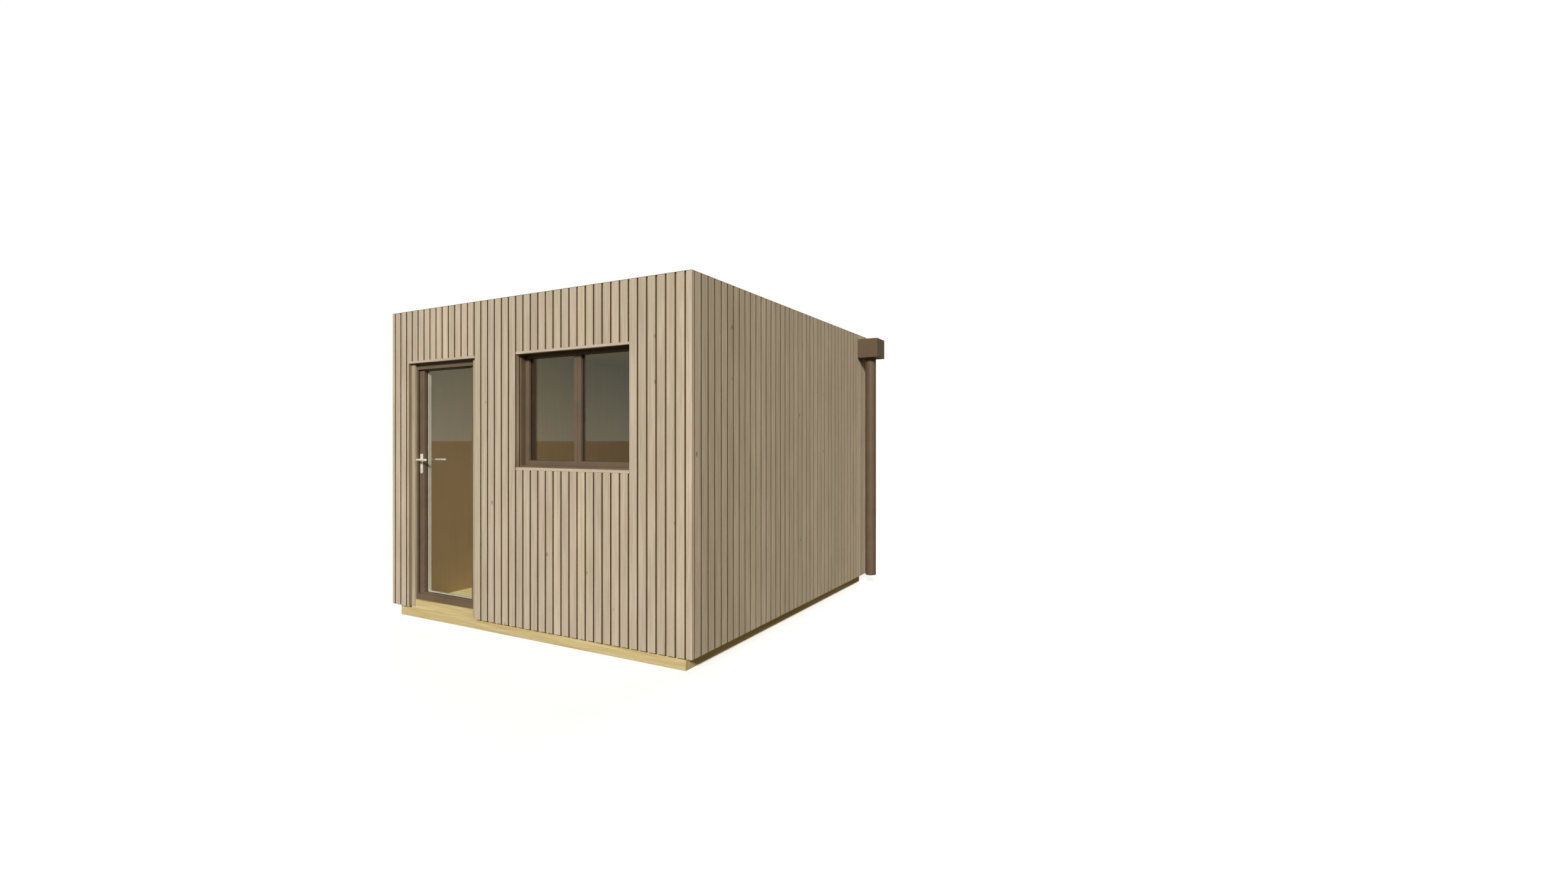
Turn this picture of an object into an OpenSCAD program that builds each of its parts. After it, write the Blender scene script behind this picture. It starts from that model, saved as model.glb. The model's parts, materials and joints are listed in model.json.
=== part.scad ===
// Garden studio: a flat-roofed timber room with grooved vertical cladding, one glazed door that
// opens inwards, one window with two lights, and a rainwater hopper with its downpipe.
// The front faces -Y, +X is to the right of someone facing the door, and the ground is z = 0.

/* [Building] */
// Width over the side cladding
body_w = 3010; // [2700:10:4200]
// Depth from the front cladding to the back cladding
body_d = 3010; // [2400:10:4800]
// Height from the ground to the top of the roof trim
body_h = 2472; // [2400:1:2800]

/* [Base] */
// Height of the timber rim and of the floor joists
rim_h = 105; // [90:1:140]
// Thickness of the rim boards and of the floor joists
joist_t = 45; // [35:1:70]
// Distance between floor joist centres
joist_pitch = 400; // [300:10:600]
// Thickness of the floor deck
deck_t = 20; // [15:1:28]

/* [Walls] */
// Thickness of the front and back wall panels
wall_front_t = 170; // [140:1:240]
// Thickness of the side wall panels
wall_side_t = 145; // [120:1:200]

/* [Cladding] */
// Thickness of the cladding boards
cladding_t = 25; // [18:0.5:32]
// Distance between neighbouring grooves
board_pitch = 75; // [50:1:150]
// Width of the groove between two boards
groove_w = 14; // [4:0.5:18]
// Depth of the groove between two boards
groove_d = 12; // [5:0.5:15]
// Distance from the right corner to the first groove of the front
front_first = 50; // [20:1:75]
// Distance from the front corner to the first groove of a side
side_first = 28; // [15:1:75]
// Height of the lower edge of the cladding above the ground
cladding_bottom = 87; // [60:1:100]
// Gap between the back of the cladding and the face of the base
cladding_gap = 5; // [3:0.5:12]
// Depth of the battens that carry the side cladding
batten_t = 44; // [25:1:60]
// Height of one batten
batten_h = 50; // [38:1:75]
// Count of battens on a side
batten_count = 5; // [3:1:7]

/* [Openings] */
// Height of the wall over the door and window, up to the top of the roof trim
over_opening_h = 423; // [320:1:480]
// Height of the flat strip over each opening
head_trim_h = 18; // [12:1:40]
// Width of the door opening in the cladding
door_w = 796; // [740:1:900]
// Distance from the right corner to the window opening
window_gap = 496; // [420:1:620]
// Width of the window opening in the cladding
window_w = 1054; // [800:1:1150]
// Height of the window opening in the cladding
window_h = 814; // [600:1:1000]
// Height of the flat strip under the window
sill_trim_h = 20; // [12:1:40]

/* [Door] */
// Width of the door frame beside the leaf
jamb_w = 54; // [48:1:70]
// Thickness of the timber strips in front of the door frame
jamb_trim_t = 18; // [12:1:25]
// Width of the timber strips in front of the door frame
jamb_trim_w = 45; // [35:1:48]
// Depth of the door frame from front to back
jamb_d = 80; // [76:1:100]
// Depth of the frame's lip in front of the leaf
lip_t = 13; // [8:1:20]
// Lap of the lip over the edge of the leaf
leaf_lap = 7; // [4:0.5:12]
// Height of the lip that shows under the strip over the door
lip_head_h = 48; // [20:1:50]
// Height of the lip that stands on the door sill
lip_sill_h = 48; // [20:1:50]
// Gap between the leaf and the frame
seal_gap = 5; // [5:0.5:8]
// Gap beside the leaf on the lock side
lock_gap = 9; // [9:0.5:14]
// Thickness of the timber sill under the door
threshold_t = 18; // [10:1:30]
// Width of the leaf's stiles and of its upper rail
leaf_bar = 61; // [55:1:90]
// Height of the leaf's lower rail
leaf_low_bar = 53; // [50:1:120]
// Depth from the front of the leaf to its glass
leaf_glass_in = 28; // [15:1:34]
// Thickness of the glass panes
glass_t = 6; // [4:0.5:10]
// Depth to which the glass is held in its frame
glass_hold = 12; // [8:1:16]

/* [Door furniture] */
// Height of the lever above the ground
lever_z = 1273; // [950:1:1400]
// Length of the lever grip
lever_len = 125; // [90:1:150]
// Diameter of the lever grip
lever_d = 19; // [14:0.5:24]
// Distance of the grip's centre from the leaf
lever_out = 50; // [40:1:60]
// Height of the handle plate
plate_h = 160; // [120:1:240]
// Width of the handle plate
plate_w = 32; // [26:1:42]
// Thickness of the handle plate
plate_t = 8; // [4:0.5:12]
// Height of one hinge
hinge_h = 100; // [70:1:140]
// Diameter of the hinge barrel
hinge_d = 16; // [12:0.5:17]
// Diameter of the hinge pin
hinge_pin_d = 8; // [5:0.5:10]

/* [Window] */
// Depth from the cladding face to the window frame
window_in = 38; // [30:1:70]
// Depth of the window frame from front to back
window_d = 82; // [70:1:100]
// Width of the window frame that shows round the sashes
window_bar = 14; // [10:1:40]
// Depth from the frame's face to the sashes
sash_in = 38; // [10:1:45]
// Width of the sash bars
sash_bar = 35; // [28:1:60]
// Width of the sash bars that meet in the middle
sash_meet_bar = 31; // [25:1:50]
// Gap between the two sashes
sash_gap = 2; // [1:0.5:4]
// Lap of the window frame behind the strip over it
window_head_lap = 24; // [4:1:30]
// Depth to which the glass is held in a sash
sash_hold = 10; // [6:1:14]

/* [Roof] */
// Thickness of the roof at the front
roof_front_t = 140; // [110:1:180]
// Fall of the roof from front to back
roof_fall = 55; // [30:1:80]
// Thickness of the roof sheet
membrane_t = 4; // [2:0.5:6]
// Height of the cladding above the roof sheet at the front
parapet_h = 34; // [20:1:60]
// Thickness of the ceiling board
ceiling_t = 15; // [9:1:20]
// Width of the metal trim on top of the walls
trim_w = 60; // [45:1:90]
// Thickness of the metal trim
trim_t = 4; // [2:0.5:6]

/* [Rainwater] */
// Length of the hopper along the wall
hopper_len = 212; // [170:1:260]
// Distance that the hopper stands out from the wall
hopper_out = 202; // [170:1:240]
// Height of the hopper
hopper_h = 184; // [140:1:240]
// Distance from the back corner to the hopper
hopper_gap = 38; // [30:1:80]
// Thickness of the hopper's sheet
hopper_t = 4; // [2:0.5:6]
// Outer diameter of the downpipe
pipe_d = 102; // [75:1:120]
// Wall thickness of the downpipe
pipe_t = 3; // [2:0.5:4]
// Distance from the wall to the centre of the downpipe
pipe_out = 98; // [85:1:110]
// Height of the downpipe's lower end above the ground
pipe_bottom = 104; // [80:1:200]
// Width of the roof outlet along the wall
outlet_w = 110; // [80:1:130]
// Height of the roof outlet
outlet_h = 36; // [25:1:45]
// Thickness of the outlet's sheet
outlet_t = 3; // [2:0.5:4]

/* [Hidden] */
$fn = 48;
// Length by which a cut runs past the face that it opens
overrun = 1;

// Outer faces of the cladding
x_left = -body_w / 2;
x_right = body_w / 2;
y_front = -body_d / 2;
y_back = body_d / 2;

// Base, set back under the cladding
base_setback = cladding_t + cladding_gap;
base_inset = cladding_t + batten_t;
base_left = x_left + base_inset;
base_right = x_right - base_inset;
base_front = y_front + base_setback;
base_back = y_back - base_setback;
deck_top = rim_h + deck_t;
joists_a_side = floor((base_right - joist_t) / joist_pitch - joist_t / joist_pitch);

// Wall panels and the room between them
panel_front = y_front + cladding_t;
panel_back = y_back - cladding_t;
room_left = base_left + wall_side_t;
room_right = base_right - wall_side_t;
room_front = panel_front + wall_front_t;
room_back = panel_back - wall_front_t;
cladding_top = body_h - trim_t;
roof_front_z = cladding_top - parapet_h - membrane_t;
wall_top = roof_front_z - roof_front_t;

// Heads of the door and of the window, at one height
opening_top = body_h - over_opening_h;

// Door opening, which starts at the inner face of the left wall
door_left = room_left;
door_right = door_left + door_w;
door_sill = deck_top + threshold_t;
frame_front = panel_front + jamb_trim_t;
frame_back = frame_front + jamb_d;
lip_back = frame_front + lip_t;

// Door leaf, held behind the lip of the frame
leaf_left = door_left + jamb_w - leaf_lap;
leaf_right = door_right - jamb_w + leaf_lap;
leaf_bottom = door_sill + seal_gap;
leaf_top = opening_top + leaf_lap;
leaf_front = lip_back + seal_gap;
leaf_back = frame_back;
head_rebate_z = leaf_top + seal_gap;
head_top = opening_top + jamb_w;
pane_left = leaf_left + leaf_bar;
pane_right = leaf_right - leaf_bar;
pane_bottom = leaf_bottom + leaf_low_bar;
pane_top = leaf_top - leaf_bar;
pane_front = leaf_front + leaf_glass_in;
pane_back = pane_front + glass_t;

// Hinges on the inner face at the right edge of the leaf
hinge_x = leaf_right + seal_gap / 2;
hinge_standoff = 1;
hinge_y = leaf_back + hinge_d / 2 + hinge_standoff;
hinge_plate_t = 3;
hinge_plate_w = 30;
hinge_end_gap = 0.3;
hinge_pin_gap = 0.3;
hinge_height_shares = [0.1, 0.5, 0.86];
hinge_places = [for (share = hinge_height_shares) leaf_bottom + share * (leaf_top - leaf_bottom)];

// Handle on the lock stile
handle_x = (leaf_left + leaf_lap + pane_left) / 2;
lever_plate_share = 0.3;
plate_top = lever_z + lever_plate_share * plate_h;
boss_d = lever_d + plate_t / 2;

// Window frame and its two sashes
window_right = x_right - window_gap;
window_left = window_right - window_w;
window_sill_z = opening_top - window_h;
window_front = y_front + window_in;
window_back = window_front + window_d;
window_top = opening_top + window_head_lap;
sash_front = window_front + sash_in;
sash_bottom = window_sill_z + window_bar;
sash_top = window_top - window_bar;
window_mid = (window_left + window_right) / 2;
sash_pane_share = 0.45;
sash_pane_front = sash_front + sash_pane_share * (window_back - sash_front);
window_handle_share = 0.525;
window_handle_z = window_sill_z + window_handle_share * window_h;
window_plate_w = 24;
window_plate_h = 62;
window_plate_t = 9;
window_lever_len = 95;
window_lever_d = 15;
window_lever_out = 28;

// Rainwater pieces at the back of the right wall
hopper_back = y_back - hopper_gap;
hopper_front = hopper_back - hopper_len;
hopper_mid = (hopper_front + hopper_back) / 2;
pipe_x = x_right + pipe_out;
drain_r = pipe_d / 2 - pipe_t - hopper_t / 2;
outlet_front = hopper_mid - outlet_w / 2;
outlet_back = hopper_mid + outlet_w / 2;
outlet_bottom = sheet_z(outlet_front);
outlet_top = outlet_bottom + outlet_h;
outlet_in = x_right - trim_w - cladding_t;
outlet_spout = 30;
hopper_freeboard = 8;
hopper_top = outlet_top + hopper_freeboard;
hopper_bottom = hopper_top - hopper_h;

// Height of the roof's top, and of its sheet, at a distance from front to back
function roof_z(y) = roof_front_z - roof_fall * (y - panel_front) / (panel_back - panel_front);
function sheet_z(y) = roof_z(y) + membrane_t;

// A box between two opposite corners
module block(low, high) {
    translate(low)
        cube(high - low);
}

// Repeats the children on the other side of the building's middle plane
module both_sides() {
    children();
    mirror([1, 0, 0])
        children();
}

// Extrudes an outline of (y, z) points between two places along x
module along_x(from, to) {
    translate([from, 0, 0])
        rotate([90, 0, 90])
            linear_extrude(to - from)
                children();
}

// Outline of a run of boards: x runs along the wall from its first corner, y into the wall
module board_outline(from, to, first) {
    difference() {
        translate([from, 0])
            square([to - from, cladding_t]);
        for (place = [first : board_pitch : to + groove_w / 2])
            if (place + groove_w / 2 > from)
                translate([place - groove_w / 2, -overrun])
                    square([groove_w, groove_d + overrun]);
    }
}

// Front cladding between two places, given as x of the building
module front_boards(low_x, high_x, low_z, high_z) {
    translate([x_right, y_front, low_z])
        mirror([1, 0, 0])
            linear_extrude(high_z - low_z)
                board_outline(x_right - high_x, x_right - low_x, front_first);
}

// Cladding of the right side, between the front and back boards
module side_boards() {
    translate([x_right, y_front, cladding_bottom])
        rotate([0, 0, 90])
            linear_extrude(cladding_top - cladding_bottom)
                board_outline(cladding_t, body_d - cladding_t, side_first);
}

// A flat frame in the plane of the front wall, with its opening
module ring(low, high, bars) {
    difference() {
        block(low, high);
        block([low[0] + bars[0], low[1] - overrun, low[2] + bars[2]],
              [high[0] - bars[1], high[1] + overrun, high[2] - bars[3]]);
    }
}

// Base

module rim_joists_front_back() {
    color("#d2bc86") {
        block([base_left, base_front, 0], [base_right, base_front + joist_t, rim_h]);
        block([base_left, base_back - joist_t, 0], [base_right, base_back, rim_h]);
    }
}

module rim_joists_sides() {
    color("#cdb67f")
        both_sides()
            block([base_right - joist_t, base_front + joist_t, 0],
                  [base_right, base_back - joist_t, rim_h]);
}

module floor_joists() {
    color("#c8b17a")
        for (i = [-joists_a_side : joists_a_side])
            block([i * joist_pitch - joist_t / 2, base_front + joist_t, 0],
                  [i * joist_pitch + joist_t / 2, base_back - joist_t, rim_h]);
}

module floor_deck() {
    color("#dcc992")
        block([base_left, base_front, rim_h], [base_right, base_back, deck_top]);
}

// Wall panels

module side_wall() {
    block([room_right, panel_front, deck_top], [base_right, panel_back, wall_top]);
}

module left_wall() {
    color("#b79a6f")
        mirror([1, 0, 0])
            side_wall();
}

module right_wall() {
    color("#b79a6f")
        side_wall();
}

module back_wall() {
    color("#b3966b")
        block([room_left, room_back, deck_top], [room_right, panel_back, wall_top]);
}

// Part of the front wall panel between two places
module front_panel(low_x, high_x, low_z, high_z) {
    block([low_x, panel_front, low_z], [high_x, room_front, high_z]);
}

module front_wall_piers() {
    color("#b3966b") {
        front_panel(door_right, window_left, deck_top, wall_top);
        front_panel(window_right, room_right, deck_top, wall_top);
    }
}

module front_wall_over_openings() {
    color("#ae9166") {
        front_panel(door_left, door_right, head_top, wall_top);
        front_panel(window_left, window_right, window_top, wall_top);
    }
}

module front_wall_under_window() {
    color("#ae9166")
        front_panel(window_left, window_right, deck_top, window_sill_z);
}

// Cladding

module side_battens() {
    first = deck_top;
    step = (wall_top - batten_h - first) / (batten_count - 1);
    color("#a58a5c")
        both_sides()
            for (i = [0 : batten_count - 1])
                block([base_right, panel_front, first + i * step],
                      [x_right - cladding_t, panel_back, first + i * step + batten_h]);
}

module left_cladding() {
    color("#c3b293")
        mirror([1, 0, 0])
            side_boards();
}

module right_cladding() {
    color("#c3b293")
        difference() {
            side_boards();
            block([x_right - cladding_t - overrun, outlet_front, outlet_bottom],
                  [x_right + overrun, outlet_back, outlet_top]);
        }
}

module back_cladding() {
    color("#c6b596")
        mirror([0, 1, 0])
            front_boards(x_left, x_right, cladding_bottom, cladding_top);
}

module front_cladding_piers() {
    color("#c6b59a") {
        front_boards(x_left, door_left, cladding_bottom, cladding_top);
        front_boards(door_right, window_left, cladding_bottom, cladding_top);
        front_boards(window_right, x_right, cladding_bottom, cladding_top);
    }
}

module front_cladding_over_openings() {
    low = opening_top + head_trim_h;
    color("#c6b59a") {
        front_boards(door_left, door_right, low, cladding_top);
        front_boards(window_left, window_right, low, cladding_top);
    }
}

module front_cladding_under_window() {
    color("#c6b59a")
        front_boards(window_left, window_right, cladding_bottom, window_sill_z - sill_trim_h);
}

module head_trims() {
    high = opening_top + head_trim_h;
    color("#cdbd9f") {
        block([door_left, y_front, opening_top], [door_right, panel_front, high]);
        block([window_left, y_front, opening_top], [window_right, panel_front, high]);
    }
}

module window_sill_trim() {
    color("#cdbd9f")
        block([window_left, y_front, window_sill_z - sill_trim_h],
              [window_right, panel_front, window_sill_z]);
}

// Roof

module ceiling() {
    color("#cbb48a")
        block([room_left, room_front, wall_top - ceiling_t], [room_right, room_back, wall_top]);
}

module roof_deck() {
    color("#9c8257")
        along_x(x_left + cladding_t, x_right - cladding_t)
            polygon([
                [panel_front, wall_top],
                [panel_back, wall_top],
                [panel_back, roof_z(panel_back)],
                [panel_front, roof_z(panel_front)]
            ]);
}

module roof_membrane() {
    color("#4a4a48")
        along_x(x_left + cladding_t, x_right - cladding_t)
            polygon([
                [panel_front, roof_z(panel_front)],
                [panel_back, roof_z(panel_back)],
                [panel_back, sheet_z(panel_back)],
                [panel_front, sheet_z(panel_front)]
            ]);
}

module roof_trim_front_back() {
    front_leg = y_front + trim_w - trim_t;
    back_leg = y_back - trim_w;
    color("#a9a59a") {
        block([x_left, y_front, cladding_top], [x_right, y_front + trim_w, body_h]);
        block([x_left + cladding_t, front_leg, sheet_z(front_leg)],
              [x_right - cladding_t, front_leg + trim_t, cladding_top]);
        block([x_left, y_back - trim_w, cladding_top], [x_right, y_back, body_h]);
        block([x_left + cladding_t, back_leg, sheet_z(back_leg)],
              [x_right - cladding_t, back_leg + trim_t, cladding_top]);
    }
}

// Trim along the top of the right wall, with its inner leg standing on the roof sheet
module side_trim_run() {
    from = y_front + trim_w;
    to = y_back - trim_w;
    leg = x_right - trim_w;
    block([leg, from, cladding_top], [x_right, to, body_h]);
    along_x(leg, leg + trim_t)
        polygon([
            [from, sheet_z(from)],
            [to, sheet_z(to)],
            [to, cladding_top],
            [from, cladding_top]
        ]);
}

module roof_trim_sides() {
    color("#a9a59a") {
        mirror([1, 0, 0])
            side_trim_run();
        difference() {
            side_trim_run();
            block([x_right - trim_w - overrun, outlet_front, outlet_bottom - membrane_t],
                  [x_right - trim_w + trim_t + overrun, outlet_back, outlet_top]);
        }
    }
}

// Rainwater

module hopper() {
    color("#6b5a46")
        difference() {
            block([x_right, hopper_front, hopper_bottom], [x_right + hopper_out, hopper_back, hopper_top]);
            block([x_right + hopper_t, hopper_front + hopper_t, hopper_bottom + hopper_t],
                  [x_right + hopper_out - hopper_t, hopper_back - hopper_t, hopper_top + overrun]);
            block([x_right - overrun, outlet_front, outlet_bottom],
                  [x_right + hopper_t + overrun, outlet_back, outlet_top]);
            translate([pipe_x, hopper_mid, hopper_bottom - overrun])
                cylinder(r = drain_r, h = hopper_t + 2 * overrun);
        }
}

module downpipe() {
    pipe_len = hopper_bottom - pipe_bottom;
    color("#6c5c43")
        translate([pipe_x, hopper_mid, pipe_bottom])
            difference() {
                cylinder(d = pipe_d, h = pipe_len);
                translate([0, 0, -overrun])
                    cylinder(d = pipe_d - 2 * pipe_t, h = pipe_len + 2 * overrun);
            }
}

module roof_outlet() {
    color("#8a8578")
        difference() {
            block([outlet_in, outlet_front, outlet_bottom],
                  [x_right + outlet_spout, outlet_back, outlet_top]);
            block([outlet_in - overrun, outlet_front + outlet_t, outlet_bottom + outlet_t],
                  [x_right + outlet_spout + overrun, outlet_back - outlet_t, outlet_top - outlet_t]);
        }
}

// Door frame

module door_threshold() {
    color("#d8c48d")
        block([door_left, base_front, deck_top], [door_right, frame_back, door_sill]);
}

module door_frame_sill() {
    color("#6f5c48")
        block([door_left + jamb_w, frame_front, door_sill],
              [door_right - jamb_w, lip_back, door_sill + lip_sill_h]);
}

// Timber strip in front of one jamb, notched over the face of the base
module side_trim(low_x) {
    block([low_x, panel_front, door_sill], [low_x + jamb_trim_w, frame_front, opening_top]);
    block([low_x, panel_front, cladding_bottom], [low_x + jamb_trim_w, base_front, door_sill]);
}

module door_side_trims() {
    color("#c9b897") {
        side_trim(door_left);
        side_trim(door_right - jamb_trim_w);
    }
}

module door_jamb_left() {
    color("#6f5c48") {
        block([door_left, frame_front, door_sill], [door_left + jamb_w, lip_back, opening_top]);
        block([door_left, lip_back, door_sill], [leaf_left - lock_gap, frame_back, head_rebate_z]);
    }
}

module door_jamb_right() {
    color("#6f5c48") {
        block([door_right - jamb_w, frame_front, door_sill], [door_right, lip_back, opening_top]);
        block([leaf_right + seal_gap, lip_back, door_sill], [door_right, frame_back, head_rebate_z]);
    }
}

module door_head() {
    color("#6f5c48") {
        block([door_left, panel_front, opening_top], [door_right, lip_back, head_top]);
        block([door_left, lip_back, head_rebate_z], [door_right, frame_back, head_top]);
        block([door_left + jamb_w, frame_front, opening_top - lip_head_h],
              [door_right - jamb_w, lip_back, head_top]);
    }
}

// Lower half of one hinge, on the frame, with the pin that the leaf turns on
module hinge_frame_half(low_z) {
    half_h = (hinge_h - hinge_end_gap) / 2;
    translate([hinge_x, hinge_y, low_z]) {
        cylinder(d = hinge_d, h = half_h);
        cylinder(d = hinge_pin_d, h = hinge_h);
    }
    block([hinge_x, leaf_back, low_z],
          [hinge_x + hinge_plate_w, leaf_back + hinge_plate_t, low_z + half_h]);
}

// Upper half of one hinge, on the leaf
module hinge_leaf_half(low_z) {
    half_h = (hinge_h - hinge_end_gap) / 2;
    base_z = low_z + half_h + hinge_end_gap;
    difference() {
        union() {
            translate([hinge_x, hinge_y, base_z])
                cylinder(d = hinge_d, h = half_h);
            block([hinge_x - hinge_plate_w, leaf_back, base_z],
                  [hinge_x, leaf_back + hinge_plate_t, base_z + half_h]);
        }
        translate([hinge_x, hinge_y, base_z - overrun])
            cylinder(d = hinge_pin_d + 2 * hinge_pin_gap, h = half_h + 2 * overrun);
    }
}

module door_hinge_frame_halves() {
    color("#8f8a80")
        for (z = hinge_places)
            hinge_frame_half(z);
}

module door_hinge_leaf_halves() {
    color("#8f8a80")
        for (z = hinge_places)
            hinge_leaf_half(z);
}

// Door leaf

module door_leaf() {
    color("#755f4e")
        difference() {
            ring([leaf_left, leaf_front, leaf_bottom], [leaf_right, leaf_back, leaf_top],
                 [leaf_bar, leaf_bar, leaf_low_bar, leaf_bar]);
            block([pane_left - glass_hold, pane_front, pane_bottom - glass_hold],
                  [pane_right + glass_hold, leaf_back + overrun, pane_top + glass_hold]);
        }
}

module door_glass() {
    color("#8fa08a", 0.4)
        block([pane_left - glass_hold, pane_front, pane_bottom - glass_hold],
              [pane_right + glass_hold, pane_back, pane_top + glass_hold]);
}

module door_beads() {
    color("#d9d8c8")
        ring([pane_left - glass_hold, pane_back, pane_bottom - glass_hold],
             [pane_right + glass_hold, leaf_back, pane_top + glass_hold],
             [glass_hold, glass_hold, glass_hold, glass_hold]);
}

// Plate with round ends, and a lever that points at the hinges; it stands on the plane y = 0
module lever_handle() {
    plate_bottom = plate_top - plate_h;
    end_r = plate_w / 2;
    block([-end_r, -plate_t, plate_bottom + end_r], [end_r, 0, plate_top - end_r]);
    for (z = [plate_bottom + end_r, plate_top - end_r])
        translate([0, 0, z])
            rotate([90, 0, 0])
                cylinder(r = end_r, h = plate_t);
    translate([0, 0, lever_z]) {
        rotate([90, 0, 0])
            cylinder(d = boss_d, h = lever_out);
        translate([0, -lever_out, 0]) {
            sphere(d = boss_d);
            rotate([0, 90, 0])
                cylinder(d = lever_d, h = lever_len);
        }
        translate([lever_len, -lever_out, 0])
            sphere(d = lever_d);
    }
}

module door_handles() {
    color("#d8c8bb") {
        translate([handle_x, leaf_front, 0])
            lever_handle();
        translate([handle_x, leaf_back, 0])
            mirror([0, 1, 0])
                lever_handle();
    }
}

// Window

module window_frame() {
    color("#6b5745")
        ring([window_left, window_front, window_sill_z], [window_right, window_back, window_top],
             [window_bar, window_bar, window_bar, window_bar]);
}

// Opening edges of one sash: left, right
function sash_edges(side) = side < 0
    ? [window_left + window_bar, window_mid - sash_gap / 2]
    : [window_mid + sash_gap / 2, window_right - window_bar];

function sash_bars(side) = side < 0
    ? [sash_bar, sash_meet_bar, sash_bar, sash_bar]
    : [sash_meet_bar, sash_bar, sash_bar, sash_bar];

module sash_pane(side) {
    edges = sash_edges(side);
    bars = sash_bars(side);
    block([edges[0] + bars[0] - sash_hold, sash_pane_front, sash_bottom + bars[2] - sash_hold],
          [edges[1] - bars[1] + sash_hold, sash_pane_front + glass_t, sash_top - bars[3] + sash_hold]);
}

module window_sashes() {
    color("#74614f")
        for (side = [-1, 1])
            difference() {
                edges = sash_edges(side);
                ring([edges[0], sash_front, sash_bottom], [edges[1], window_back, sash_top],
                     sash_bars(side));
                sash_pane(side);
            }
}

module window_glass() {
    color("#8fa08a", 0.4)
        for (side = [-1, 1])
            sash_pane(side);
}

module window_handle() {
    x = window_mid + (sash_gap + sash_meet_bar) / 2;
    plate_half = window_plate_w / 2;
    color("#d8c8bb")
        translate([x, window_back, window_handle_z]) {
            block([-plate_half, 0, -window_plate_h / 2], [plate_half, window_plate_t, window_plate_h / 2]);
            rotate([-90, 0, 0])
                cylinder(d = window_lever_d, h = window_lever_out);
            translate([0, window_lever_out, 0]) {
                sphere(d = window_lever_d);
                rotate([180, 0, 0])
                    cylinder(d = window_lever_d, h = window_lever_len);
                translate([0, 0, -window_lever_len])
                    sphere(d = window_lever_d);
            }
        }
}

rim_joists_front_back();
rim_joists_sides();
floor_joists();
floor_deck();
left_wall();
right_wall();
back_wall();
front_wall_piers();
front_wall_over_openings();
front_wall_under_window();
side_battens();
left_cladding();
right_cladding();
back_cladding();
front_cladding_piers();
front_cladding_over_openings();
front_cladding_under_window();
head_trims();
window_sill_trim();
ceiling();
roof_deck();
roof_membrane();
roof_trim_front_back();
roof_trim_sides();
hopper();
downpipe();
roof_outlet();
door_threshold();
door_frame_sill();
door_side_trims();
door_jamb_left();
door_jamb_right();
door_head();
door_hinge_frame_halves();
door_hinge_leaf_halves();
door_leaf();
door_glass();
door_beads();
door_handles();
window_frame();
window_sashes();
window_glass();
window_handle();
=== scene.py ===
"""Looks of the garden studio: boards, frames, handles, finishes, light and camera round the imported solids.

Lengths are metres in the frame of the solids: the front faces -Y, +Z is up and the ground is z = 0.
"""

import json
import math
import random

import bmesh
import bpy
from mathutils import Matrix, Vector


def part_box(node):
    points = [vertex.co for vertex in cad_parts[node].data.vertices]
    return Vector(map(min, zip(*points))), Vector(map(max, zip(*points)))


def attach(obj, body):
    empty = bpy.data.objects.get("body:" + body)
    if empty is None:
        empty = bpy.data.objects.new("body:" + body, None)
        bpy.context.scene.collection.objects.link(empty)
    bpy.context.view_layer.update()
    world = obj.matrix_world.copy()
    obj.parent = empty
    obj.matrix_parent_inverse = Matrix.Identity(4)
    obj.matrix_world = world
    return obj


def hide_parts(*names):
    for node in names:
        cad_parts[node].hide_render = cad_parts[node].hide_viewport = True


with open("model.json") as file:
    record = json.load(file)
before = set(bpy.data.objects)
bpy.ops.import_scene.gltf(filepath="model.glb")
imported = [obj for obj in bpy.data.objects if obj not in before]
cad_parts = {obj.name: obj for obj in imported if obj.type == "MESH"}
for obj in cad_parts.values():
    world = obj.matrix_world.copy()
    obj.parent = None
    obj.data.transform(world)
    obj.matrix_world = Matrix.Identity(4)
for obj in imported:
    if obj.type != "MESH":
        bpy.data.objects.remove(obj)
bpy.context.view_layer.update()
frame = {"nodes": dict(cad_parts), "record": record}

nodes = frame["nodes"]

# Cladding boards
BOARD_PITCH = 0.075
GROOVE_WIDTH = 0.014
GROOVE_DEPTH = 0.012
FRONT_FIRST_GROOVE = 0.050
SIDE_FIRST_GROOVE = 0.028
BOARD_ROUND = 0.0008
BOARD_SHIFT = 0.0007
TONGUE_GAP = 0.0004
# Depth that a cut board's edge is given, for a lighter painted shade on its side face
CUT_EDGE_PAINTED_SHADE_DEPTH = 0.0008
TONE_LAYER = "board_tone"
DEPTH_LAYER = "groove_depth"

# Floor boards and the strip at the floor's front edge
PLANK_WIDTH = 0.118
PLANK_GAP = 0.001
FLOOR_EDGE = 0.045

# Frames, panes and seals
EDGE_ROUND = 0.002
METAL_ROUND = 0.003
ROUND_STEPS = 3
MITRE_GAP = 0.0003
DOOR_GLASS_HOLD = 0.012
BEAD_LIP = 0.005
SASH_GLASS_HOLD = 0.010
SASH_GAP = 0.002
SASH_MEETING_BAR = 0.031
GASKET_WIDTH = 0.0025
GASKET_DEPTH = 0.003
GASKET_ROUND = 0.001
REVEAL_THICK = 0.0015
# Depth of the black strip that paints the shadow in the gap between the reveal and the window frame
REVEAL_SHADOW_STRIP = 0.007

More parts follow.
